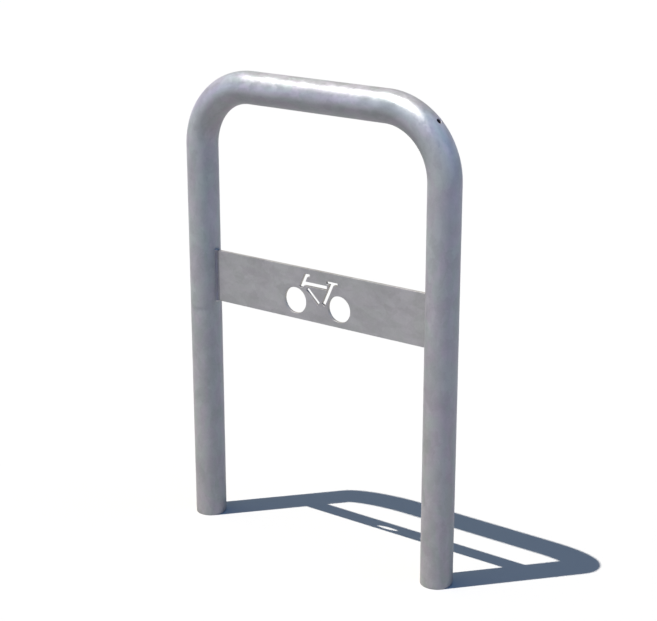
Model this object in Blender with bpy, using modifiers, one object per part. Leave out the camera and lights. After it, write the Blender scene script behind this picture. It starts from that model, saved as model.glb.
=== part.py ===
"""Hoop bike stand: one bent steel tube, and a flat cross bar with a bicycle cut through it.

Metres, +Z up. X runs along the hoop's width, the bicycle is read from -Y, and the origin is on the
ground midway between the legs. The stand is welded and then galvanised, so it has no moving piece.
"""

import math

import bpy
import bmesh
from mathutils import Matrix, Vector

# Hoop: standard round tube with two right-angle bends
TUBE_DIAMETER = 0.0603
TUBE_WALL = 0.003
HOOP_WIDTH = 0.600
HOOP_HEIGHT = 0.900
BEND_RADIUS = 0.120
BEND_STEPS = 16
TUBE_SIDES = 48

# Vent for the zinc bath, on the outside of the right bend, halfway round it
VENT_DIAMETER = 0.010
VENT_TURN = math.radians(45)
VENT_SIDES = 20

# Cross bar: flat steel between the legs
BAR_HEIGHT = 0.100
BAR_THICKNESS = 0.006
BAR_MIDDLE = 0.500
BAR_EDGE = 0.0006
BAR_EDGE_SIDES = 2

# Bicycle cut-out, measured from the middle of the bar
WHEEL_DIAMETER = 0.050
WHEELBASE = 0.100
WHEEL_DROP = 0.015
WHEEL_SIDES = 48
STROKE = 0.008
SLIM_STROKE = 0.0055
CORNER = 0.001
CORNER_SIDES = 3
LEAN = math.radians(24.5)
HEAD_FOOT = Vector((-0.0364, 0.0125))
HANDLE_TOP = 0.040
HANDLE_END = -0.0165
TOP_TUBE_MIDDLE = 0.0209
TOP_TUBE_END = 0.0225
DOWN_TUBE = (Vector((-0.0226, 0.0120)), Vector((0.0035, -0.0130)))
SEAT_TUBE_FOOT = Vector((0.0143, -0.0130))
SADDLE_MIDDLE = Vector((0.0340, 0.03125))
SADDLE_LENGTH = 0.0252

# Fillet welds between the bar and the legs
WELD_LEG = 0.0036
WELD_RIPPLE = 0.004
WELD_RIPPLE_DEPTH = 0.09
WELD_FULLNESS = 1.5
WELD_FACE_SIDES = 4
STEPS_A_RIPPLE = 4
STEPS_A_CORNER = 6

# Pieces that touch on the real stand are drawn this far apart
GAP = 0.0003

TUBE_RADIUS = TUBE_DIAMETER / 2
LEG_X = (HOOP_WIDTH - TUBE_DIAMETER) / 2
CROWN_Z = HOOP_HEIGHT - TUBE_RADIUS
BEND_X = LEG_X - BEND_RADIUS
BEND_Z = CROWN_Z - BEND_RADIUS

# Zinc that has weathered dull: its colour and roughness on each kind of piece
ZINC = {
    "tube": ((0.29, 0.295, 0.31), 0.55),
    "bar": ((0.29, 0.29, 0.30), 0.6),
    "weld": ((0.21, 0.215, 0.25), 0.6),
}
ZINC_METALLIC = 0.6


def clear_scene():
    for obj in list(bpy.data.objects):
        bpy.data.objects.remove(obj, do_unlink=True)


def new_collection(name):
    collection = bpy.data.collections.new(name)
    bpy.context.scene.collection.children.link(collection)
    return collection


def galvanised(name, finish):
    """Zinc-coated steel of its own colour and roughness."""
    colour, roughness = ZINC[finish]
    material = bpy.data.materials.new(name)
    material.use_nodes = True
    shader = material.node_tree.nodes["Principled BSDF"]
    shader.inputs["Base Color"].default_value = (*colour, 1.0)
    shader.inputs["Metallic"].default_value = ZINC_METALLIC
    shader.inputs["Roughness"].default_value = roughness
    return material


def add_object(name, data, collection, finish=None):
    obj = bpy.data.objects.new(name, data)
    collection.objects.link(obj)
    if finish:
        data.materials.append(galvanised(name, finish))
    else:
        obj.hide_render = True
        obj.display_type = "WIRE"
    return obj


def mesh_from(bm, name):
    bmesh.ops.recalc_face_normals(bm, faces=bm.faces)
    mesh = bpy.data.meshes.new(name)
    bm.to_mesh(mesh)
    bm.free()
    return mesh


def round_bar(name, diameter, length, sides):
    """Closed cylinder along Z, centred on its own origin."""
    bm = bmesh.new()
    radius = diameter / 2
    bmesh.ops.create_cone(bm, cap_ends=True, segments=sides, radius1=radius, radius2=radius, depth=length)
    return mesh_from(bm, name)


def cut(obj, cutter):
    boolean = obj.modifiers.new("Cut " + cutter.name, "BOOLEAN")
    boolean.operation = "DIFFERENCE"
    boolean.solver = "EXACT"
    boolean.object = cutter


def on_bend(turn, side):
    """Point of the centre line at an angle round a bend, from 0 on the crown to a quarter turn at the leg."""
    x = BEND_X + BEND_RADIUS * math.sin(turn)
    z = BEND_Z + BEND_RADIUS * math.cos(turn)
    return Vector((side * x, 0, z))


def hoop_centre_line():
    turns = [math.pi / 2 * step / BEND_STEPS for step in range(BEND_STEPS + 1)]
    left = [on_bend(turn, -1) for turn in reversed(turns)]
    right = [on_bend(turn, 1) for turn in turns]
    return [Vector((-LEG_X, 0, 0)), *left, *right, Vector((LEG_X, 0, 0))]


def make_hoop(collection, cutters):
    """The outer skin is swept along the centre line, and the wall grows inwards from it."""
    curve = bpy.data.curves.new("hoop_centre_line", "CURVE")
    curve.dimensions = "3D"
    curve.bevel_depth = TUBE_RADIUS
    curve.bevel_resolution = (TUBE_SIDES - 4) // 2
    curve.use_fill_caps = False
    points = hoop_centre_line()
    spline = curve.splines.new("POLY")
    spline.points.add(len(points) - 1)
    for spline_point, point in zip(spline.points, points):
        spline_point.co = (*point, 1)

    swept = add_object("hoop_sweep", curve, cutters)
    depsgraph = bpy.context.evaluated_depsgraph_get()
    mesh = bpy.data.meshes.new_from_object(swept.evaluated_get(depsgraph))
    matrix = swept.matrix_world.copy()
    bpy.data.objects.remove(swept)
    mesh.name = "hoop_tube"
    mesh.shade_smooth()
    hoop = add_object("hoop_tube", mesh, collection, "tube")
    hoop.matrix_world = matrix

    wall = hoop.modifiers.new("Tube wall", "SOLIDIFY")
    wall.thickness = TUBE_WALL
    wall.offset = -1
    cut(hoop, vent_drill(cutters))
    return hoop


def vent_drill(cutters):
    """Round drill that goes through the outer wall of the right bend and stops inside the tube."""
    out = Vector((math.sin(VENT_TURN), 0, math.cos(VENT_TURN)))
    drill = add_object("vent_drill", round_bar("vent_drill", VENT_DIAMETER, TUBE_RADIUS, VENT_SIDES), cutters)
    drill.location = on_bend(VENT_TURN, 1) + out * TUBE_RADIUS
    drill.rotation_euler = out.to_track_quat("Z", "Y").to_euler()
    return drill


def outline_cutter(name, outline, cutters):
    """A flat outline on the bar's face, its corners rounded, made deep enough to go through the bar."""
    depth = 2 * BAR_THICKNESS
    bm = bmesh.new()
    corners = [bm.verts.new((x, -depth / 2, BAR_MIDDLE + z)) for x, z in outline]
    bm.faces.new(corners)
    bmesh.ops.bevel(bm, geom=corners, offset=CORNER, segments=CORNER_SIDES, profile=0.5, affect="VERTICES")
    extruded = bmesh.ops.extrude_face_region(bm, geom=bm.faces[:], use_keep_orig=True)
    moved = [item for item in extruded["geom"] if isinstance(item, bmesh.types.BMVert)]
    bmesh.ops.translate(bm, verts=moved, vec=(0, depth, 0))
    return add_object(name, mesh_from(bm, name), cutters)


def wheel_cutter(name, side, cutters):
    wheel = add_object(name, round_bar(name, WHEEL_DIAMETER, 2 * BAR_THICKNESS, WHEEL_SIDES), cutters)
    wheel.location = (side * WHEELBASE / 2, 0, BAR_MIDDLE - WHEEL_DROP)
    wheel.rotation_euler.x = math.pi / 2
    return wheel


def stroke_outline(start, end, width):
    """Corners of a straight stroke with square ends."""
    across = (end - start).normalized().orthogonal() * (width / 2)
    return [start - across, end - across, end + across, start + across]


def head_and_top_tube_outline():
    """Leaning head tube with a level foot, a short handlebar at its top and the top tube halfway up."""
    half = STROKE / 2 / math.cos(LEAN)

    def head(z, edge):
        return HEAD_FOOT.x + (z - HEAD_FOOT.y) * math.tan(LEAN) + edge * half, z

    handle_under = HANDLE_TOP - SLIM_STROKE
    tube_over = TOP_TUBE_MIDDLE + STROKE / 2
    tube_under = TOP_TUBE_MIDDLE - STROKE / 2
    return [
        head(HEAD_FOOT.y, -1),
        head(HEAD_FOOT.y, 1),
        head(tube_under, 1),
        (TOP_TUBE_END, tube_under),
        (TOP_TUBE_END, tube_over),
        head(tube_over, 1),
        head(handle_under, 1),
        (HANDLE_END, handle_under),
        (HANDLE_END, HANDLE_TOP),
        head(HANDLE_TOP, -1),
    ]


def seat_tube_outline():
    """Leaning seat tube with a square foot, and a slim level saddle across its top."""
    half = STROKE / 2 / math.cos(LEAN)
    foot = Vector((math.cos(LEAN), -math.sin(LEAN))) * (STROKE / 2)
    under = SADDLE_MIDDLE.y - SLIM_STROKE / 2
    over = SADDLE_MIDDLE.y + SLIM_STROKE / 2
    back = SADDLE_MIDDLE.x - SADDLE_LENGTH / 2
    front = SADDLE_MIDDLE.x + SADDLE_LENGTH / 2
    post = SEAT_TUBE_FOOT.x + (under - SEAT_TUBE_FOOT.y) * math.tan(LEAN)
    return [
        SEAT_TUBE_FOOT - foot,
        SEAT_TUBE_FOOT + foot,
        (post + half, under),
        (front, under),
        (front, over),
        (back, over),
        (back, under),
        (post - half, under),
    ]


def make_cross_bar(collection, cutters):
    """Flat bar cut square to reach the legs, its long edges eased as rolled bar is."""
    length = 2 * (LEG_X - TUBE_RADIUS - GAP)
    bm = bmesh.new()
    size = Matrix.Diagonal((length, BAR_THICKNESS, BAR_HEIGHT, 1))
    bmesh.ops.create_cube(bm, size=1, matrix=Matrix.Translation((0, 0, BAR_MIDDLE)) @ size)
    long_edges = [edge for edge in bm.edges if abs(edge.verts[0].co.x - edge.verts[1].co.x) > length / 2]
    bmesh.ops.bevel(
        bm, geom=long_edges, offset=BAR_EDGE, segments=BAR_EDGE_SIDES, profile=0.5, affect="EDGES"
    )
    bar = add_object("cross_bar", mesh_from(bm, "cross_bar"), collection, "bar")

    cut(bar, wheel_cutter("front_wheel", -1, cutters))
    cut(bar, wheel_cutter("rear_wheel", 1, cutters))
    cut(bar, outline_cutter("head_and_top_tube", head_and_top_tube_outline(), cutters))
    cut(bar, outline_cutter("down_tube", stroke_outline(*DOWN_TUBE, STROKE), cutters))
    cut(bar, outline_cutter("seat_tube", seat_tube_outline(), cutters))
    return bar


def weld_path():
    """Half way round the bar's end, from the middle of its top edge to the middle of its bottom edge.

    Each step gives a point (y, z) of the bar's outline, seen from the bar's middle height, the
    direction that points away from the bar there, and the length of bead laid so far.
    """
    half_thickness = BAR_THICKNESS / 2
    half_height = BAR_HEIGHT / 2
    narrow = half_thickness - GAP / 2
    spacing = WELD_RIPPLE / STEPS_A_RIPPLE
    laid = 0
    path = []

    def straight(start, end, away):
        nonlocal laid
        steps = max(2, round((end - start).length / spacing))
        for step in range(steps + 1):
            path.append((start.lerp(end, step / steps), away, laid + (end - start).length * step / steps))
        laid += (end - start).length

    def round_corner(corner, start_angle):
        nonlocal laid
        arc = WELD_LEG * math.pi / 4
        for step in range(1, STEPS_A_CORNER):
            angle = start_angle + math.pi / 2 * step / STEPS_A_CORNER
            away = Vector((math.cos(angle), math.sin(angle)))
            path.append((corner, away, laid + arc * step / STEPS_A_CORNER))
        laid += arc

    top = Vector((-half_thickness, half_height))
    bottom = Vector((-half_thickness, -half_height))
    straight(top + Vector((narrow, 0)), top, Vector((0, 1)))
    round_corner(top, math.pi / 2)
    straight(top, bottom, Vector((-1, 0)))
    round_corner(bottom, math.pi)
    straight(bottom, bottom + Vector((narrow, 0)), Vector((0, -1)))
    return path


def weld_section(laid):
    """Fillet across the corner: the root, then the rounded face from the leg's side to the bar's.

    Each point is its distance off the bar and off the tube. The face swells and shrinks along the
    bead, one swell to each ripple of the puddle.
    """
    swell = 1 + WELD_RIPPLE_DEPTH * (abs(math.sin(math.pi * laid / WELD_RIPPLE)) - 1)
    section = [(0, 0)]
    for side in range(WELD_FACE_SIDES + 1):
        turn = math.pi / 2 * side / WELD_FACE_SIDES
        off_bar = WELD_LEG * swell * abs(math.cos(turn)) ** WELD_FULLNESS
        off_tube = WELD_LEG * swell * abs(math.sin(turn)) ** WELD_FULLNESS
        section.append((off_bar, off_tube))
    return section


def make_weld(name, side, face, collection):
    """Loft the fillet section along the bar's outline, on the saddle where the flat bar meets the tube."""
    bm = bmesh.new()
    rings = []
    for outline, away, laid in weld_path():
        ring = []
        for off_bar, off_tube in weld_section(laid):
            y, z = outline + away * (GAP + off_bar)
            tube_side = math.sqrt(TUBE_RADIUS ** 2 - y ** 2)
            x = LEG_X - tube_side - GAP - off_tube
            ring.append(bm.verts.new((side * x, face * y, BAR_MIDDLE + z)))
        rings.append(ring)

    for ring, following in zip(rings, rings[1:]):
        for corner in range(len(ring)):
            beside = corner - 1
            bm.faces.new((ring[corner], ring[beside], following[beside], following[corner]))
    bm.faces.new(rings[0])
    bm.faces.new(rings[-1])
    mesh = mesh_from(bm, name)
    mesh.shade_smooth()
    return add_object(name, mesh, collection, "weld")


def main():
    clear_scene()
    stand = new_collection("Hoop bike stand")
    cutters = new_collection("Cutters")
    make_hoop(stand, cutters)
    make_cross_bar(stand, cutters)
    for side_name, side in (("left", -1), ("right", 1)):
        for face_name, face in (("front", 1), ("back", -1)):
            make_weld(f"weld_{side_name}_{face_name}", side, face, stand)


main()
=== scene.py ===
"""Hoop bike stand of galvanised steel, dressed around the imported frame.

In metres, with +Z up and the front facing -Y.
"""

import bmesh
import bpy
import numpy as np
from mathutils import Matrix, Vector


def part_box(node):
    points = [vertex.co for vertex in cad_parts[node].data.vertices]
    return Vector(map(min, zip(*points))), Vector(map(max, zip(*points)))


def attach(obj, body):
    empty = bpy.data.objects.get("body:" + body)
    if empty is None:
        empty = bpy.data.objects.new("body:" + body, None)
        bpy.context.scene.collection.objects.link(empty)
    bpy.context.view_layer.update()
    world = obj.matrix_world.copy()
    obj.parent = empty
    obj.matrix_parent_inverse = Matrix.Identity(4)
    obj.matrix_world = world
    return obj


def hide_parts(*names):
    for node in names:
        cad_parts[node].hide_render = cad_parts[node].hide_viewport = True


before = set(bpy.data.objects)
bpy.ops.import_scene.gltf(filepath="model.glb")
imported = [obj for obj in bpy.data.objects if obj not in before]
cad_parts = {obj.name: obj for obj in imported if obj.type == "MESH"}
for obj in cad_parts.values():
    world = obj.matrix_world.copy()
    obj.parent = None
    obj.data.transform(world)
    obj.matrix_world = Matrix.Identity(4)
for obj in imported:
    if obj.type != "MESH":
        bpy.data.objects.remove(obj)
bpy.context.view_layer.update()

# Hoop tube
# One length of 60.3 x 3 mm round steel tube, cold bent twice and cut square at both feet. The stand is dipped
# in molten zinc after welding, which leaves a satin, clouded skin and soft edges. The tube drains through a
# small hole drilled in the outside of the right bend.

TUBE_RADIUS = 0.03015
BORE_RADIUS = 0.02715
BEND_RADIUS = 0.120
tube_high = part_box("hoop_tube")[1]
LEG_X = tube_high.x - TUBE_RADIUS
LEG_LENGTH = tube_high.z - TUBE_RADIUS - BEND_RADIUS
BEND_LENGTH = BEND_RADIUS * np.pi / 2
CROWN_LENGTH = 2 * (LEG_X - BEND_RADIUS)
TUBE_LENGTH = 2 * (LEG_LENGTH + BEND_LENGTH) + CROWN_LENGTH


def bends_at(along):
    """How far each bend has turned the tube's middle line by a length along it.

    Inside a bend that is the length since its start / BEND_RADIUS.
    """
    first = np.clip((along - LEG_LENGTH) / BEND_RADIUS, 0, np.pi / 2)
    second = np.clip((along - LEG_LENGTH - BEND_LENGTH - CROWN_LENGTH) / BEND_RADIUS, 0, np.pi / 2)
    return first, second


def tube_point(along, turn, radius):
    """Point of the tube by the length along its middle line, the angle round it and the distance from it.

    The middle line goes up the left leg, across the crown and down the right leg. Its heading grows from 0 to
    a half turn over the two bends. The point lies radius * cos(turn) to the outside of the hoop and
    radius * sin(turn) to the front of its plane.
    """
    climb = np.minimum(along, LEG_LENGTH)
    across = np.clip(along - LEG_LENGTH - BEND_LENGTH, 0, CROWN_LENGTH)
    drop = np.maximum(along - TUBE_LENGTH + LEG_LENGTH, 0)
    first, second = bends_at(along)
    heading = first + second
    outwards = radius * np.cos(turn)
    x = BEND_RADIUS * (1 - np.cos(first) + np.sin(second)) + across - LEG_X - outwards * np.cos(heading)
    z = climb - drop + BEND_RADIUS * (np.sin(first) - 1 + np.cos(second)) + outwards * np.sin(heading)
    return np.stack([x, -radius * np.sin(turn), z], axis=-1)


# The hollows add up this many waves, of lengths between a short and a long one, to this mean depth
WAVES = 14
WAVE_DEPTH = 0.00005
SHORT_WAVE, LONG_WAVE = 0.035, 0.13
wave_draw = np.random.default_rng(7)
wave_turns = wave_draw.integers(1, 5, WAVES)
wave_lengths = wave_draw.uniform(SHORT_WAVE, LONG_WAVE, WAVES)
wave_starts = wave_draw.uniform(0, 2 * np.pi, WAVES)


def hollow(along, turn):
    """How deep the drawn and dipped skin lies under a true cylinder.

    It is WAVE_DEPTH * (1 + the sum of the sine waves / 4), and never above the cylinder.
    """
    waves = [
        np.sin(turns * turn + 2 * np.pi * along / length + start)
        for turns, length, start in zip(wave_turns, wave_lengths, wave_starts)
    ]
    return WAVE_DEPTH * np.clip(1 + sum(waves) / 4, 0, None)


def skin_point(along, turn, radius):
    """Tube point with the skin's hollows, which fade from the outer skin to nothing at the bore."""
    share = (radius - BORE_RADIUS) / (TUBE_RADIUS - BORE_RADIUS)
    return tube_point(along, turn, radius - hollow(along, turn) * share)


def quads_between(near, far):
    """Four-sided faces between two closed rings of point numbers, or between two whole sets of such rings."""
    return np.stack([near, np.roll(near, -1, -1), np.roll(far, -1, -1), far], axis=-1).reshape(-1, 4)


# The rows of points run over the outer skin from the left foot to the right, round that foot's rim, back over
# the bore and round the left foot's rim, so the wall is one closed sheet. Each row has its length along the
# tube and its radius.
AROUND = 96
RIM_EDGE = 0.0006
RIM_STEPS = 4
LEG_ROWS, BEND_ROWS, CROWN_ROWS = 150, 72, 60
BORE_LEG_ROWS, BORE_BEND_ROWS, BORE_CROWN_ROWS = 10, 24, 6
VENT_ALONG = LEG_LENGTH + BEND_LENGTH + CROWN_LENGTH + BEND_LENGTH / 2


def rows_along(leg, left_bend, crown):
    """Lengths of the rows from foot to foot, evenly spaced within each leg, each bend and the crown.

    The right bend always has the rows that the vent needs.
    """
    leg_run = LEG_LENGTH - RIM_EDGE
    ends = np.cumsum([RIM_EDGE, leg_run, BEND_LENGTH, CROWN_LENGTH, BEND_LENGTH, leg_run])
    counts = [leg, left_bend, crown, BEND_ROWS, leg]
    runs = [np.linspace(a, b, n, endpoint=False) for a, b, n in zip(ends, ends[1:], counts)]
    return np.append(np.concatenate(runs), ends[-1])


def quarter(steps):
    """Sine and cosine over a quarter turn in even steps, without its two ends."""
    angle = np.pi / 2 * np.arange(1, steps) / steps
    return np.sin(angle), np.cos(angle)


outer_rows = rows_along(LEG_ROWS, BEND_ROWS, CROWN_ROWS)
bore_rows = rows_along(BORE_LEG_ROWS, BORE_BEND_ROWS, BORE_CROWN_ROWS)[::-1]
rim_sin, rim_cos = quarter(RIM_STEPS)
rim_out = RIM_EDGE * (1 - rim_sin)
rim_in = RIM_EDGE * (1 - rim_cos)
rim_along = np.concatenate([rim_out, [0, 0], rim_out[::-1]])
rim_radius = np.concatenate(
    [TUBE_RADIUS - rim_in, [TUBE_RADIUS - RIM_EDGE, BORE_RADIUS + RIM_EDGE], BORE_RADIUS + rim_in[::-1]]
)
row_along = np.concatenate([outer_rows, TUBE_LENGTH - rim_along, bore_rows, rim_along[::-1]])
outer_radius = np.full(len(outer_rows), TUBE_RADIUS)
bore_radius = np.full(len(bore_rows), BORE_RADIUS)
row_radius = np.concatenate([outer_radius, rim_radius, bore_radius, rim_radius[::-1]])
turns = 2 * np.pi * np.arange(AROUND) / AROUND
tube_along, tube_turn = np.meshgrid(row_along, turns, indexing="ij")
tube_radius = np.broadcast_to(row_radius[:, None], tube_along.shape)
numbers = np.arange(tube_along.size).reshape(tube_along.shape)

# Vent: a block of cells is taken out of the outer skin and of the bore. Rings of points lead from the edge of
# the block to the round hole, over its soft lip, down its wall and out to the block in the bore.
VENT_RADIUS = 0.005
VENT_LIP = 0.0006
LIP_STEPS = 5
BLOCK_ROWS = 3
BLOCK_COLUMNS = 4


def block_loop(first_row, last_row):
    """Point numbers round the block of cells between two rows, starting along the first with growing turn."""
    columns = np.arange(-BLOCK_COLUMNS, BLOCK_COLUMNS)
    rows = np.linspace(first_row, last_row, 2 * BLOCK_ROWS + 1).round().astype(int)
    sides = [
        numbers[first_row, columns],
        numbers[rows[:-1], BLOCK_COLUMNS],
        numbers[last_row, -columns],
        numbers[rows[:0:-1], -BLOCK_COLUMNS],
    ]
    return np.concatenate(sides)


def through_drill(along, turn, radius):
    """Where a point of the tube lies in the drill's round section: (x along the hoop, y to the front).

    x is (BEND_RADIUS + radius * cos(turn)) * sin(length from the vent / BEND_RADIUS), and y is
    radius * sin(turn).
    """
    reach = BEND_RADIUS + radius * np.cos(turn)
    return reach * np.sin((along - VENT_ALONG) / BEND_RADIUS), radius * np.sin(turn)


def from_drill(x, y, radius):
    """The other way round: length along and turn of the tube's point at (x, y) of the drill's section.

    The turn is arcsin(y / radius), and the length is the vent's + BEND_RADIUS * arcsin(x / reach).
    """
    turn = np.arcsin(y / radius)
    reach = BEND_RADIUS + radius * np.cos(turn)
    return VENT_ALONG + BEND_RADIUS * np.arcsin(x / reach), turn


outer_middle = int(np.argmin(abs(outer_rows - VENT_ALONG)))
bore_middle = len(outer_rows) + len(rim_along) + int(np.argmin(abs(bore_rows - VENT_ALONG)))
outer_block = block_loop(outer_middle - BLOCK_ROWS, outer_middle + BLOCK_ROWS)
bore_block = block_loop(bore_middle + BLOCK_ROWS, bore_middle - BLOCK_ROWS)

hole_angle = np.pi - 2 * np.pi * (np.arange(len(outer_block)) - BLOCK_COLUMNS) / len(outer_block)
# Each ring: the share of the way from the block to the round hole, the hole's radius there and the tube's
lip = [
    (1, VENT_RADIUS + VENT_LIP * (1 - sine), TUBE_RADIUS - VENT_LIP * (1 - cosine))
    for sine, cosine in zip(*quarter(LIP_STEPS))
]
vent_rings = [
    (1 / 3, VENT_RADIUS + VENT_LIP, TUBE_RADIUS),
    (2 / 3, VENT_RADIUS + VENT_LIP, TUBE_RADIUS),
    (1, VENT_RADIUS + VENT_LIP, TUBE_RADIUS),
    *lip,
    (1, VENT_RADIUS, TUBE_RADIUS - VENT_LIP),
    (1, VENT_RADIUS, BORE_RADIUS + RIM_EDGE),
    (1, VENT_RADIUS + RIM_EDGE, BORE_RADIUS),
    (2 / 3, VENT_RADIUS + RIM_EDGE, BORE_RADIUS),
    (1 / 3, VENT_RADIUS + RIM_EDGE, BORE_RADIUS),
]
ring_along, ring_turn, ring_radius = [], [], []
for share, hole_radius, radius in vent_rings:
    block = outer_block if radius > (TUBE_RADIUS + BORE_RADIUS) / 2 else bore_block
    block_x, block_y = through_drill(tube_along.ravel()[block], tube_turn.ravel()[block], radius)
    x = (1 - share) * block_x + share * hole_radius * np.cos(hole_angle)
    y = (1 - share) * block_y + share * hole_radius * np.sin(hole_angle)
    along, turn = from_drill(x, y, radius)
    ring_along.append(along)
    ring_turn.append(turn)
    ring_radius.append(np.full(along.shape, radius))
ring_numbers = numbers.size + np.arange(len(vent_rings) * len(outer_block)).reshape(len(vent_rings), -1)
ring_numbers = np.vstack([outer_block, ring_numbers, bore_block])

hoop_along = np.concatenate([tube_along.ravel(), *ring_along])
hoop_turn = np.concatenate([tube_turn.ravel(), *ring_turn])
hoop_radius = np.concatenate([tube_radius.ravel(), *ring_radius])
cells = quads_between(numbers, np.roll(numbers, -1, axis=0)).reshape(*numbers.shape, 4)
kept = np.ones(numbers.shape, bool)
block_columns = np.arange(-BLOCK_COLUMNS, BLOCK_COLUMNS)
for middle in (outer_middle, bore_middle):
    kept[middle - BLOCK_ROWS : middle + BLOCK_ROWS, block_columns] = False
hoop_faces = np.vstack([cells[kept], quads_between(ring_numbers[:-1], ring_numbers[1:])])
used, hoop_faces = np.unique(hoop_faces, return_inverse=True)
hoop_along, hoop_turn, hoop_radius = hoop_along[used], hoop_turn[used], hoop_radius[used]
hoop_points = skin_point(hoop_along, hoop_turn, hoop_radius)
hoop_run = np.stack([TUBE_RADIUS * np.cos(hoop_turn), TUBE_RADIUS * np.sin(hoop_turn), hoop_along], axis=-1)


def smooth_step(value, low, high):
    """0 below low, 1 above high, and 3t^2 - 2t^3 between them."""
    t = np.clip((value - low) / (high - low), 0, 1)
    return t**2 * (3 - 2 * t)


# Soft marks in the zinc, given one by one: runs, duller and bluer patches and a faint level line on the left
# leg, and painted highlight and painted shade beside the crown's highlight, beside the vent and inside the
# right leg.
# Each has its middle (length along the tube, turn in degrees), half its length and half its width, and what
# it adds to red, green and blue.
MARKS_AND_PAINTED_LIGHT = (
    ((0.435, 100), (0.004, 0.016), (-0.20, -0.19, -0.17)),
    ((0.428, 100), (0.006, 0.012), (0.02, 0.07, 0.04)),
    ((0.438, 136), (0.010, 0.010), (-0.04, -0.08, -0.03)),
    ((0.60, 156), (0.14, 0.012), (0.09, 0.09, 0.09)),
    ((0.60, 127), (0.12, 0.011), (-0.06, 0.01, -0.02)),
    ((0.68, 82), (0.05, 0.012), (-0.09, -0.09, -0.10)),
    ((0.85, 35), (0.06, 0.018), (-0.06, -0.03, 0.11)),
    ((0.87, 66), (0.05, 0.016), (-0.03, 0.00, 0.04)),
    ((0.91, 34), (0.03, 0.016), (-0.16, -0.15, -0.06)),
    ((0.96, 58), (0.05, 0.010), (0.17, 0.16, 0.14)),
    ((1.02, 27), (0.035, 0.004), (-0.16, -0.16, -0.16)),
    ((1.12, 57), (0.20, 0.004), (0.10, 0.10, 0.08)),
    ((1.20, 26), (0.06, 0.004), (-0.15, -0.13, -0.13)),
    ((1.30, 18), (0.03, 0.014), (0.09, -0.01, -0.05)),
    ((1.30, 19), (0.03, 0.005), (-0.06, -0.09, -0.11)),
    ((1.30, 56), (0.03, 0.006), (0.17, 0.14, 0.12)),
    ((1.37, 6), (0.03, 0.010), (0.09, 0.12, 0.09)),
    ((1.36, 29), (0.03, 0.012), (-0.18, -0.18, -0.22)),
    ((1.33, 64), (0.05, 0.012), (0.16, 0.15, 0.13)),
    ((1.44, 16), (0.05, 0.016), (0.02, -0.01, 0.07)),
    ((1.44, 85), (0.04, 0.016), (-0.06, -0.05, -0.07)),
    ((1.51, 68), (0.08, 0.012), (0.03, 0.00, 0.05)),
    ((1.69, 122), (0.05, 0.010), (-0.10, -0.10, -0.10)),
    ((1.70, 75), (0.08, 0.014), (0.03, 0.00, 0.03)),
    ((1.86, 50), (0.13, 0.016), (0.05, 0.00, 0.05)),
    ((1.90, 112), (0.06, 0.008), (-0.08, -0.08, -0.12)),
    ((1.95, 12), (0.16, 0.010), (-0.04, -0.07, -0.07)),
)


def tint_and_painted_light_at(along, turn, height):
    """Shares of the zinc's red, green and blue, with painted light, painted shade and marks in them.

    What faces up is painted lighter, undersides are painted darker and a little red as painted shade, and the
    very top is painted a little darker. The legs are a little lighter than the bends and the crown, and
    darker and a warmer grey towards the ground. The front of the crown and the bends has a painted blue sky
    reflection, and the left bend is a little red. Most of this goes by smooth steps of up, the height part of
    the normal, cos(turn) * sin(heading). A mark fades from its middle as
    exp(-(length / half length)^2 - (width / half width)^2).
    """
    first, second = bends_at(along)
    level = np.sin(first + second)
    up = np.cos(turn) * level
    near_ground = np.clip(1 - height / LEG_LENGTH, 0, 1)
    # Painted light on what faces up, and painted shade on undersides
    bright = 0.79 + 0.30 * smooth_step(up, -0.55, 0.25) + 0.20 * smooth_step(up, 0.10, 0.45)
    # Painted shade on the very top
    bright = bright - 0.10 * smooth_step(up, 0.78, 0.93)
    # The legs a little lighter than the bends and the crown, and darker towards the ground
    bright = bright * (1 + 0.03 * (1 - level) - 0.08 * near_ground)
    # Painted blue sky reflection on the front of the crown and the bends
    blue = smooth_step(up, -0.2, 0.2) * (1 - smooth_step(up, 0.25, 0.65)) * level**2
    # A little red on undersides as painted shade, and towards the ground
    red_share = 1 - 0.01 * blue + 0.03 * smooth_step(-up, 0.1, 0.4) + 0.03 * near_ground
    red_share = red_share + 0.03 * np.sin(2 * first)
    blue_share = 1 + 0.09 * blue - 0.06 * near_ground
    shares = np.stack([bright * red_share, bright, bright * blue_share], axis=-1)
    # Marks, some of them painted highlight and painted shade
    for (mark_along, mark_turn), (half_length, half_width), gain in MARKS_AND_PAINTED_LIGHT:
        across = TUBE_RADIUS * (np.remainder(turn - np.radians(mark_turn) + np.pi, 2 * np.pi) - np.pi)
        strength = np.exp(-(((along - mark_along) / half_length) ** 2) - (across / half_width) ** 2)
        shares = shares + strength[..., None] * gain
    return shares


def make_piece(name, points, run, shares_with_painted_light, faces, material, node):
    """Smooth-shaded mesh object at the origin that rides on the only body and stands for its CAD node.

    Its attribute run holds, in metres, where each point lies across the piece, in x and y, and along it, in
    z. Its other attribute holds shares of red, green and blue for the zinc, with painted light and shade in
    them.
    """
    mesh = bpy.data.meshes.new(name)
    mesh.from_pydata(points.tolist(), [], [list(face) for face in faces])
    mesh.shade_smooth()
    for attribute, values in (("run", run), ("shares_with_painted_light", shares_with_painted_light)):
        values = np.broadcast_to(values, points.shape)
        mesh.attributes.new(attribute, "FLOAT_VECTOR", "POINT").data.foreach_set("vector", values.ravel())
    mesh.materials.append(material)
    piece = bpy.data.objects.new(name, mesh)
    bpy.context.scene.collection.objects.link(piece)
    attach(piece, "root")
    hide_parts(node)
    return piece


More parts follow.
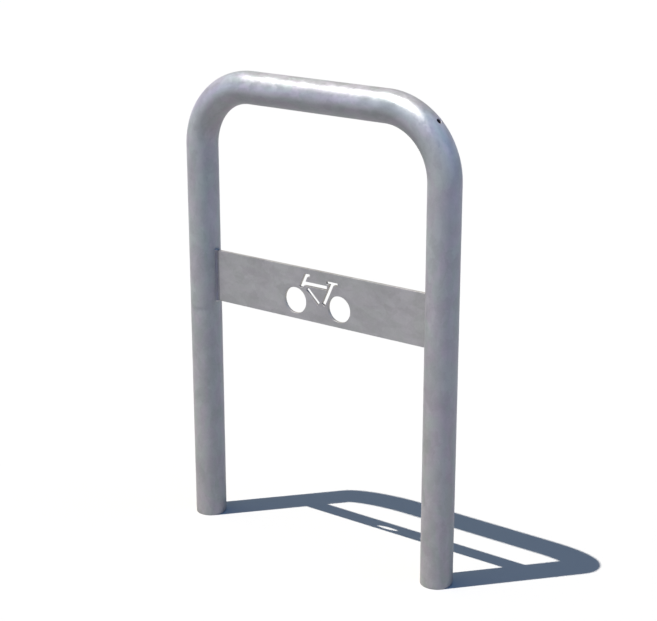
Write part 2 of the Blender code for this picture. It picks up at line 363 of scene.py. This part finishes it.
class Wire:
    """A socket in the nodes of a material or the sky.

    Arithmetic on wires and numbers adds the Math nodes that work it out.
    """

    def __init__(self, socket):
        self.socket = socket

    def node(self, kind, settings, sockets, output=0):
        """Wire from a new node beside this one: its type, its settings, and its sockets' values or wires.

        A node that has no outputs is returned itself.
        """
        tree = self.socket.id_data
        made = tree.nodes.new(kind)
        for name, value in settings.items():
            setattr(made, name, value)
        for name, value in sockets.items():
            if isinstance(value, Wire):
                tree.links.new(value.socket, made.inputs[name])
            else:
                made.inputs[name].default_value = value
        return Wire(made.outputs[output]) if made.outputs else made

    def maths(self, operation, *values):
        """Wire from a new Math node that works on values or wires."""
        return self.node("ShaderNodeMath", {"operation": operation}, dict(enumerate(values)))

    def __add__(self, other):
        return self.maths("ADD", self, other)

    def __radd__(self, other):
        return self.maths("ADD", other, self)

    def __sub__(self, other):
        return self.maths("SUBTRACT", self, other)

    def __rsub__(self, other):
        return self.maths("SUBTRACT", other, self)

    def __mul__(self, other):
        return self.maths("MULTIPLY", self, other)

    def __rmul__(self, other):
        return self.maths("MULTIPLY", other, self)

    def __pow__(self, other):
        return self.maths("POWER", self, other)

    def __abs__(self):
        return self.maths("ABSOLUTE", self)


# How metallic and how rough the zinc is where it isn't rubbed
METALLIC = 0.5
ROUGHNESS = 0.6


def zinc(name, green_grey, red_grey):
    """Hot-dip zinc: soft clouds, patches and facets along the piece, crystals, speckles and ripples.

    The patches and facets follow the attribute run, and mix a grey that leans to green with one that leans
    to red. The lightness is 1 plus each pattern's strength * (pattern - 0.5). What faces up is rubbed and
    washed, so it is smoother and shines more like bare metal, but less on the outside of a bend and on the
    dusty top.
    """
    material = bpy.data.materials.new(name)
    material.use_nodes = True
    tree = material.node_tree
    tree.nodes.clear()
    place = Wire(tree.nodes.new("ShaderNodeTexCoord").outputs["Object"])
    run = place.node("ShaderNodeAttribute", {"attribute_name": "run"}, {}, "Vector")
    # Shares of red, green and blue with painted light and shade in them
    shares_with_painted_light = place.node("ShaderNodeAttribute", {"attribute_name": "shares_with_painted_light"}, {}, "Vector")
    normal_of_piece = place.node("ShaderNodeNewGeometry", {}, {}, "Normal")

    def noise(vector, scale, detail=2.0, distortion=0.0):
        sockets = {"Vector": vector, "Scale": scale, "Detail": detail, "Distortion": distortion}
        return place.node("ShaderNodeTexNoise", {}, {**sockets, "Roughness": 0.5})

    def step(value, low, high):
        sockets = {"Value": value, "From Min": low, "From Max": high}
        return place.node("ShaderNodeMapRange", {"interpolation_type": "SMOOTHSTEP"}, sockets)

    wander = place.node("ShaderNodeTexNoise", {}, {"Vector": place, "Scale": 90.0, "Detail": 2.0}, "Color")
    shift = place.node("ShaderNodeVectorMath", {"operation": "SCALE"}, {0: wander, "Scale": 0.008})
    bent = place.node("ShaderNodeVectorMath", {"operation": "ADD"}, {0: place, 1: shift})
    cell = place.node("ShaderNodeTexVoronoi", {"feature": "F1"}, {"Vector": bent, "Scale": 130.0}, "Color")
    drawn_out = place.node("ShaderNodeVectorMath", {"operation": "MULTIPLY"}, {0: run, 1: (50.0, 50.0, 24.0)})
    broad = place.node("ShaderNodeVectorMath", {"operation": "MULTIPLY"}, {0: run, 1: (32.0, 32.0, 18.0)})
    stretched = place.node("ShaderNodeVectorMath", {"operation": "MULTIPLY"}, {0: run, 1: (60.0, 60.0, 42.0)})
    warped = place.node("ShaderNodeVectorMath", {"operation": "ADD"}, {0: stretched, 1: wander})
    sockets = {"Vector": warped, "Scale": 1.0, "Smoothness": 0.2}
    facets = place.node("ShaderNodeTexVoronoi", {"feature": "SMOOTH_F1"}, sockets, "Color")

    clouds = noise(place, 14.0, 3.0, 0.4)
    patches = noise(drawn_out, 1.0, 3.0, 0.5)
    facet = place.node("ShaderNodeSeparateColor", {}, {"Color": facets}, "Red")
    facet_tint = place.node("ShaderNodeSeparateColor", {}, {"Color": facets}, "Green")
    tint = 0.7 * step(noise(broad, 1.0, 2.0, 0.8), 0.38, 0.62) + 0.3 * facet_tint
    crystal = place.node("ShaderNodeSeparateColor", {}, {"Color": cell}, "Red")
    speckle = noise(place, 260.0, 1.0)
    grain = noise(place, 1300.0, 1.0)
    ripples = noise(place, 75.0, 1.0)

    upward = place.node("ShaderNodeSeparateXYZ", {}, {"Vector": normal_of_piece}, "Z")
    sideways = place.node("ShaderNodeSeparateXYZ", {}, {"Vector": normal_of_piece}, "X")
    rubbed = step(upward, 0.12, 0.48) * (1 - 0.5 * step(abs(sideways), 0.45, 0.75))
    rubbed = rubbed * (1 - 0.45 * step(upward, 0.85, 0.98))
    edge = step(patches, 0.47, 0.54)
    value = 1 + 0.20 * (clouds - 0.5) + 0.20 * (patches - 0.5) + 0.045 * (edge - 0.5)
    value = value + 0.12 * (facet - 0.5) + 0.05 * (crystal - 0.5) + 0.14 * (speckle - 0.5)
    grey = place.node("ShaderNodeMix", {"data_type": "RGBA"}, {0: tint, 6: green_grey, 7: red_grey}, 2)
    # The grey takes on the shares, and with them their painted light and shade
    grey_with_painted_light = place.node("ShaderNodeVectorMath", {"operation": "MULTIPLY"}, {0: grey, 1: shares_with_painted_light})
    base = place.node("ShaderNodeVectorMath", {"operation": "SCALE"}, {0: grey_with_painted_light, "Scale": value})
    rough = ROUGHNESS - 0.17 * rubbed + 0.16 * (patches - 0.5) + 0.06 * (facet - 0.5)
    rough = rough + 0.05 * (crystal - 0.5) + 0.10 * (speckle - 0.5) + 0.06 * (grain - 0.5)
    height = 0.25 * ripples + 0.02 * speckle + 0.012 * grain
    normal = place.node("ShaderNodeBump", {}, {"Strength": 1.0, "Distance": 0.001, "Height": height})
    shader = place.node(
        "ShaderNodeBsdfPrincipled",
        {},
        {"Base Color": base, "Metallic": METALLIC + 0.14 * rubbed, "Roughness": rough, "Normal": normal},
    )
    place.node("ShaderNodeOutputMaterial", {}, {"Surface": shader})
    return material


tube_zinc = zinc("tube_zinc", (0.281, 0.306, 0.317, 1), (0.301, 0.290, 0.331, 1))
# Shares of the zinc's colour, with painted light, painted shade and marks
hoop_shares_with_painted_light = tint_and_painted_light_at(hoop_along, hoop_turn, hoop_points[:, 2])
hoop_faces = hoop_faces.reshape(-1, 4)
make_piece("hoop", hoop_points, hoop_run, hoop_shares_with_painted_light, hoop_faces, tube_zinc, "hoop_tube")

# Cross bar
# One length of 100 x 6 mm flat steel bar, sawn square and welded between the legs, its middle 500 mm up.
# The bicycle is cut through it from the front: two wheels, the handlebar with the top tube, the down tube,
# and the seat tube with the saddle. The zinc softens the rolled edges and the cut ones alike.

BAR_THICKNESS = 0.006
BAR_HEIGHT = 0.100
BAR_MIDDLE = 0.500
BAR_EDGE = 0.0005
EDGE_STEPS = 5
BAR_INTO_TUBE = 0.0005

# The bicycle: the widths of its strokes, the radius of their corners, the lean of the head and seat tubes,
# the radius of its wheels, and the places of its parts by x and z from the bar's middle
STROKE = 0.008
SLIM_STROKE = 0.0055
CORNER = 0.001
LEAN = np.radians(24.5)
WHEEL_RADIUS = 0.025
WHEELS = ((-0.050, -0.015), (0.050, -0.015))
HEAD_FOOT = (-0.0364, 0.0125)
HANDLEBAR_END, HANDLEBAR_UNDER, HANDLEBAR_OVER = -0.0165, 0.0345, 0.0400
TOP_TUBE_END, TOP_TUBE_UNDER, TOP_TUBE_OVER = 0.0225, 0.0169, 0.0249
DOWN_TUBE = ((-0.0226, 0.0120), (0.0035, -0.0130))
SEAT_FOOT = (0.0143, -0.0130)
SADDLE_TIP, SADDLE_BACK, SADDLE_HEIGHT = 0.0214, 0.0466, 0.03125


def round_corners(corners, radius, steps=5):
    """Closed outline in which a curve replaces each corner, from one side to the next, a radius away from it.

    Points of the curve are (1-t)^2 * start + 2t(1-t) * corner + t^2 * end.
    """
    corners = np.array(corners, float)
    towards = [np.roll(corners, shift, axis=0) - corners for shift in (1, -1)]
    start, end = [corners + radius * way / np.linalg.norm(way, axis=1)[:, None] for way in towards]
    t = np.linspace(0, 1, steps)[None, :, None]
    curve = (1 - t) ** 2 * start[:, None] + 2 * t * (1 - t) * corners[:, None] + t**2 * end[:, None]
    return curve.reshape(-1, 2)


def circle(middle, radius, steps=72):
    """Closed outline of the points middle + radius * (cos, sin)."""
    angle = 2 * np.pi * np.arange(steps) / steps
    return np.array(middle) + radius * np.stack([np.cos(angle), np.sin(angle)], axis=-1)


def stroke(start, end, width):
    """Corners of a straight stroke with square ends: start and end, half the width to either side."""
    start, end = np.array(start), np.array(end)
    along = (end - start) / np.linalg.norm(end - start)
    across = np.array([-along[1], along[0]]) * width / 2
    return [start - across, end - across, end + across, start + across]


def handlebar_and_top_tube():
    """Leaning head tube with a level foot, a short handlebar at its top and the top tube part of the way up.

    The head tube's middle is at x = foot + rise * tan(LEAN), and its sides are half a stroke / cos(LEAN) off.
    """
    foot_x, foot_z = HEAD_FOOT
    half = STROKE / 2 / np.cos(LEAN)

    def head(z, side):
        return foot_x + (z - foot_z) * np.tan(LEAN) + side * half, z

    return [
        head(foot_z, -1),
        head(foot_z, 1),
        head(TOP_TUBE_UNDER, 1),
        (TOP_TUBE_END, TOP_TUBE_UNDER),
        (TOP_TUBE_END, TOP_TUBE_OVER),
        head(TOP_TUBE_OVER, 1),
        head(HANDLEBAR_UNDER, 1),
        (HANDLEBAR_END, HANDLEBAR_UNDER),
        (HANDLEBAR_END, HANDLEBAR_OVER),
        head(HANDLEBAR_OVER, -1),
    ]


def seat_tube_and_saddle():
    """Leaning seat tube with a square foot, and a slim level saddle across its top.

    The foot's corners are half a stroke to both sides, square to the tube. Under the saddle the tube's middle
    is at x = foot + rise * tan(LEAN).
    """
    foot_x, foot_z = SEAT_FOOT
    half = STROKE / 2 / np.cos(LEAN)
    side_x, side_z = np.cos(LEAN) * STROKE / 2, -np.sin(LEAN) * STROKE / 2
    under, over = SADDLE_HEIGHT - SLIM_STROKE / 2, SADDLE_HEIGHT + SLIM_STROKE / 2
    post = foot_x + (under - foot_z) * np.tan(LEAN)
    return [
        (foot_x - side_x, foot_z - side_z),
        (foot_x + side_x, foot_z + side_z),
        (post + half, under),
        (SADDLE_BACK, under),
        (SADDLE_BACK, over),
        (SADDLE_TIP, over),
        (SADDLE_TIP, under),
        (post - half, under),
    ]


def turned(outline, direction):
    """The outline with its points in order against the clock for 1, or with the clock for -1.

    Twice the area inside, the sum of x * next z - z * next x, tells which way they go round.
    """
    x, z = outline.T
    area = np.sum(x * np.roll(z, -1) - z * np.roll(x, -1))
    return outline if area * direction > 0 else outline[::-1]


def edge_sheet(outline):
    """Points of the bar's rounded edge, carried along an outline with the metal on its right hand.

    The profile goes from the front face over a quarter round, straight through and over another to the back
    face. Each point moves into the metal by its share of the two sides' mitred normal, (a + b) / (1 + a.b),
    which is returned too.
    """
    side = np.roll(outline, -1, axis=0) - outline
    side /= np.linalg.norm(side, axis=1)[:, None]
    after = np.stack([side[:, 1], -side[:, 0]], axis=-1)
    before = np.roll(after, 1, axis=0)
    into = (after + before) / (1 + np.sum(after * before, axis=1))[:, None]
    angle = np.linspace(0, np.pi / 2, EDGE_STEPS)
    inset = BAR_EDGE * (1 - np.sin(angle))
    depth = BAR_THICKNESS / 2 - BAR_EDGE * (1 - np.cos(angle))
    inset = np.concatenate([inset, inset[::-1]])
    depth = np.concatenate([-depth, depth[::-1]])
    x, z = (outline[None] + inset[:, None, None] * into[None]).transpose(2, 0, 1)
    return np.stack([x, np.broadcast_to(depth[:, None], x.shape), BAR_MIDDLE + z], axis=-1), into


bar_half = LEG_X - TUBE_RADIUS + BAR_INTO_TUBE
bar_corners = [(x * bar_half, z * BAR_HEIGHT / 2) for x, z in ((-1, -1), (1, -1), (1, 1), (-1, 1))]
outlines = [
    turned(round_corners(bar_corners, CORNER), -1),
    *[circle(wheel, WHEEL_RADIUS) for wheel in WHEELS],
    turned(round_corners(handlebar_and_top_tube(), CORNER), 1),
    turned(round_corners(stroke(*DOWN_TUBE, STROKE), CORNER), 1),
    turned(round_corners(seat_tube_and_saddle(), CORNER), 1),
]
# Painted light on the cut's upright walls: what they gain in red, green and blue, more the more they face
# sideways. The first outline is the bar's own, which gets none.
CUT_PAINTED_LIGHT = np.array([0.5, 0.42, 0.22])
bar_points, bar_faces, bar_shares_with_painted_light, face_loops = [], [], [], ([], [])
counted = 0
for outline in outlines:
    sheet, into = edge_sheet(outline)
    sheet_numbers = counted + np.arange(sheet[..., 0].size).reshape(sheet.shape[:2])
    counted += sheet_numbers.size
    bar_points.append(sheet.reshape(-1, 3))
    # Painted light on the cut walls that face sideways
    upright = 0 if len(bar_shares_with_painted_light) == 0 else into[None, :, :1] ** 2
    inside = smooth_step(BAR_THICKNESS / 2 - abs(sheet[..., 1:2]), 0, BAR_EDGE)
    bar_shares_with_painted_light.append((1 + inside * upright * CUT_PAINTED_LIGHT).reshape(-1, 3))
    bar_faces.append(quads_between(sheet_numbers[:-1], sheet_numbers[1:]))
    for loops, row in zip(face_loops, (sheet_numbers[0], sheet_numbers[-1])):
        loops.append(row)

bar_points, bar_shares_with_painted_light = np.vstack(bar_points), np.vstack(bar_shares_with_painted_light)
bar_zinc = zinc("bar_zinc", (0.2965, 0.3005, 0.304, 1), (0.3035, 0.2955, 0.312, 1))
bar_faces = np.vstack(bar_faces)
bar_run = bar_points[:, ::-1]
bar = make_piece("bar", bar_points, bar_run, bar_shares_with_painted_light, bar_faces, bar_zinc, "cross_bar")

# The two faces fill what lies between their outlines, and stay flat
bar_mesh = bmesh.new()
bar_mesh.from_mesh(bar.data)
bar_mesh.verts.ensure_lookup_table()
for loops in face_loops:
    edges = []
    for loop in loops:
        for a, b in zip(loop, np.roll(loop, -1)):
            edges.append(bar_mesh.edges.get((bar_mesh.verts[a], bar_mesh.verts[b])))
    filled = bmesh.ops.triangle_fill(bar_mesh, use_beauty=True, edges=edges)
    for item in filled["geom"]:
        if isinstance(item, bmesh.types.BMFace):
            item.smooth = False
bmesh.ops.recalc_face_normals(bar_mesh, faces=bar_mesh.faces)
bar_mesh.to_mesh(bar.data)
bar_mesh.free()

# Welds
# Four fillet runs of weld metal, one at the front and one at the back of each end of the bar. Each is laid in
# one pass with a steady weave, from the middle of the bar's top edge, down its face, to the middle of its
# bottom edge. Over the bead the zinc is thicker, duller and darker.

# A ripple's length, its depth as a share of the leg, and how far its ends lag behind. The toes sink a little
# into the tube and the bar, and the run goes a little past the middle of the bar's edges.
WELD_LEG = 0.0036
WELD_FULLNESS = 1.5
WELD_SINK = 0.0004
RIPPLE = 0.0032
RIPPLE_DEPTH = 0.10
RIPPLE_BOW = 0.0016
RIPPLE_POWER = 0.6
RUN_OVER = 0.0012
TOP_RUN = BAR_THICKNESS / 2
CORNER_RUN = WELD_LEG * np.pi / 4
RUN_STEP = 0.0003
ACROSS_STEPS = 15
# How far the welder's hand drifts: along the bead, in metres, and in the leg, as a share, with the leg's mean
# share. The drift adds up this many waves, of lengths between a short and a long one.
PACE_DRIFT = 0.0006
LEG_DRIFT = 0.06
MEAN_LEG = 0.96
DRIFTS = 5
SHORT_DRIFT, LONG_DRIFT = 0.006, 0.05


def weld_spine(laid):
    """Point (y, z) of the bar's outline and the angle that leads away from the bar, by the length laid.

    The bead goes over half the top edge, swings a quarter turn about the corner, goes down the face, swings
    about the lower corner and ends halfway along the bottom edge. The angle is a right angle and grows by
    another at each corner.
    """
    first = TOP_RUN + CORNER_RUN
    second = first + BAR_HEIGHT
    y = -np.clip(laid, -RUN_OVER, TOP_RUN) + np.clip(laid - second - CORNER_RUN, 0, TOP_RUN + RUN_OVER)
    z = BAR_HEIGHT / 2 - np.clip(laid - first, 0, BAR_HEIGHT)
    swing = np.clip((laid - TOP_RUN) / CORNER_RUN, 0, 1) + np.clip((laid - second) / CORNER_RUN, 0, 1)
    return y, z, np.pi / 2 * (1 + swing)


def unsteady(laid, draw):
    """A slow drift of the welder's hand, between about -1 and 1: the sum of its sine waves / 3."""
    lengths = draw.uniform(SHORT_DRIFT, LONG_DRIFT, DRIFTS)
    starts = draw.uniform(0, 2 * np.pi, DRIFTS)
    return sum(np.sin(2 * np.pi * laid / length + start) for length, start in zip(lengths, starts)) / 3


def bead_points(side, face, draw):
    """Points of one bead. Across it, v goes from the tube's side to the bar's.

    The fillet's face is leg * cos(v)^fullness off the bar and leg * sin(v)^fullness off the tube. Ripples
    scale it by |sin|^power of pi * the length laid, less a bow at both toes, over the ripple's length.
    """
    run = 2 * (TOP_RUN + CORNER_RUN) + BAR_HEIGHT
    laid = np.linspace(-RUN_OVER, run + RUN_OVER, int(run / RUN_STEP))[:, None]
    v = np.linspace(0, np.pi / 2, ACROSS_STEPS)[None]
    pace = laid + PACE_DRIFT * unsteady(laid, draw)
    ripple = abs(np.sin(np.pi * (pace - RIPPLE_BOW * np.cos(2 * v) ** 2) / RIPPLE)) ** RIPPLE_POWER
    leg = WELD_LEG * (MEAN_LEG + LEG_DRIFT * unsteady(laid, draw)) * (1 + RIPPLE_DEPTH * (ripple - 1))
    off_bar = leg * np.cos(v) ** WELD_FULLNESS - WELD_SINK * np.sin(v) ** 8
    off_tube = leg * np.sin(v) ** WELD_FULLNESS - WELD_SINK * np.cos(v) ** 8
    root = np.full(laid.shape, -WELD_SINK)
    off_bar, off_tube = np.hstack([root, off_bar]), np.hstack([root, off_tube])
    y, z, away = weld_spine(laid)
    y = y + np.cos(away) * off_bar
    z = z + np.sin(away) * off_bar
    x = LEG_X - np.sqrt(TUBE_RADIUS**2 - y**2) - off_tube
    return np.stack([side * x, face * y, BAR_MIDDLE + z], axis=-1)


weld_zinc = zinc("weld_zinc", (0.20, 0.205, 0.25, 1), (0.23, 0.225, 0.25, 1))
# Painted light on a bead where it goes over an edge of the bar: what it gains there in red, green and blue,
# and how softly that starts
EDGE_PAINTED_LIGHT = (0.75, 0.7, 0.5)
EDGE_FADE = 0.001
weld_draw = np.random.default_rng(21)
for side_name, side in (("left", -1), ("right", 1)):
    for face_name, face in (("front", 1), ("back", -1)):
        rings = bead_points(side, face, weld_draw)
        bead_numbers = np.arange(rings[..., 0].size).reshape(rings.shape[:2])
        if side * face > 0:
            bead_numbers = bead_numbers[:, ::-1]
        ends = [bead_numbers[0], bead_numbers[-1][::-1]]
        bead_faces = [*quads_between(bead_numbers[1:], bead_numbers[:-1]), *ends]
        place = f"{side_name}_{face_name}"
        points = rings.reshape(-1, 3)
        past_edge = abs(points[:, 2:] - BAR_MIDDLE) - BAR_HEIGHT / 2
        # Painted light on the bead over the bar's edges
        shares_with_painted_light = 1 + smooth_step(past_edge, -EDGE_FADE, EDGE_FADE) * EDGE_PAINTED_LIGHT
        node = f"weld_{place}"
        make_piece(f"bead_{place}", points, points, shares_with_painted_light, bead_faces, weld_zinc, node)

# Floor
# A plain, matt, pale sheet at ground level that the stand's feet rest on. It reaches past everything that the
# camera sees.

FLOOR_REACH = 60.0
FLOOR_GREY = (0.45, 0.45, 0.45, 1)
floor_mesh = bpy.data.meshes.new("floor")
floor_corners = [(x * FLOOR_REACH, y * FLOOR_REACH, 0) for x, y in ((-1, -1), (1, -1), (1, 1), (-1, 1))]
floor_mesh.from_pydata(floor_corners, [], [(0, 1, 2, 3)])
floor = bpy.data.objects.new("floor", floor_mesh)
bpy.context.scene.collection.objects.link(floor)
floor_paint = bpy.data.materials.new("floor_paint")
floor_paint.use_nodes = True
floor_shader = floor_paint.node_tree.nodes["Principled BSDF"]
floor_shader.inputs["Base Color"].default_value = FLOOR_GREY
floor_shader.inputs["Roughness"].default_value = 1
floor_shader.inputs["Specular IOR Level"].default_value = 0
floor_mesh.materials.append(floor_paint)

# Light
# A high sun in front and to the left throws the crisp shadow behind. The sky that fills it is pale at the
# horizon, most of all to the left and behind, neutral higher up on the left, and blue to the right.

SUN_STRENGTH = 6.73
SUN_COLOUR = (1.0, 0.96, 0.896)
SUN_WIDTH = np.radians(0.4)
SUN_SIDE = (-0.242, -0.283, 1)
sun_light = bpy.data.lights.new("sun", "SUN")
sun_light.energy = SUN_STRENGTH
sun_light.color = SUN_COLOUR
sun_light.angle = SUN_WIDTH
sun = bpy.data.objects.new("sun", sun_light)
bpy.context.scene.collection.objects.link(sun)
sun.rotation_euler = Vector(SUN_SIDE).to_track_quat("Z", "Y").to_euler()

HORIZON = (0.567, 0.587, 0.613)
HAZE_FROM, HAZE_TO = 0.10, 0.30
HAZE_SIDE = (-0.5, 0.5, 0.0)
# Each glow: the direction of its middle, how narrow it is, and its colour
GLOWS = (
    ((-0.883, 0.321, 0.342), 2, (0.362, 0.250, 0.018)),
    ((0.814, -0.470, 0.342), 2, (0.000, 0.071, 0.448)),
    ((-0.564, -0.300, 0.770), 16, (0.195, 0.393, 0.466)),
    ((0.602, 0.201, 0.773), 16, (0.155, 0.570, 0.942)),
)
world = bpy.data.worlds.new("sky")
bpy.context.scene.world = world
world.use_nodes = True
heading = Wire(world.node_tree.nodes.new("ShaderNodeTexCoord").outputs["Generated"])
rise = heading.node("ShaderNodeSeparateXYZ", {}, {"Vector": heading}, "Z")
haze = heading.node(
    "ShaderNodeMapRange",
    {"interpolation_type": "SMOOTHSTEP"},
    {"Value": rise, "From Min": HAZE_FROM, "From Max": HAZE_TO, "To Min": 1.0, "To Max": 0.0},
)


def towards(direction):
    """Cosine of the angle between the way that the sky is looked at and a direction."""
    settings = {"operation": "DOT_PRODUCT"}
    return heading.node("ShaderNodeVectorMath", settings, {0: heading, 1: direction}, "Value")


# The haze is brighter by its cosine to its own side. A glow is ((1 + cosine) / 2)^narrow, and haze hides it.
hazy = haze * (1 + towards(HAZE_SIDE))
sky = heading.node("ShaderNodeVectorMath", {"operation": "SCALE"}, {0: HORIZON, "Scale": hazy})
for direction, narrow, colour in GLOWS:
    share = (1 - haze) * (0.5 + 0.5 * towards(direction)) ** narrow
    glow = heading.node("ShaderNodeVectorMath", {"operation": "SCALE"}, {0: colour, "Scale": share})
    sky = heading.node("ShaderNodeVectorMath", {"operation": "ADD"}, {0: sky, 1: glow})
world.node_tree.links.new(sky.socket, world.node_tree.nodes["Background"].inputs["Color"])

# Camera
# Placed as the photograph's, three metres away: to the right of the front, and half a metre higher than the
# crown. The lens and the slight shift give the photograph's frame.

LENS = 89.614
SENSOR_WIDTH = 36
SHIFT_UP = 0.02207
CAMERA_PLACE = (1.71838, -2.29486, 1.39131)
azimuth, elevation, roll = np.radians([36.43518, 18.26307, -0.0482])
back = Vector((np.sin(azimuth) * np.cos(elevation), -np.cos(azimuth) * np.cos(elevation), np.sin(elevation)))
level = Vector((np.cos(azimuth), np.sin(azimuth), 0))
right = np.cos(roll) * level + np.sin(roll) * back.cross(level)
camera_data = bpy.data.cameras.new("camera")
camera_data.sensor_width = SENSOR_WIDTH
camera_data.lens = LENS
camera_data.shift_y = SHIFT_UP
camera = bpy.data.objects.new("camera", camera_data)
bpy.context.scene.collection.objects.link(camera)
facing = Matrix((right, back.cross(right), back)).transposed().to_4x4()
camera.matrix_world = Matrix.Translation(CAMERA_PLACE) @ facing
bpy.context.scene.camera = camera
bpy.context.scene.view_settings.view_transform = "Standard"
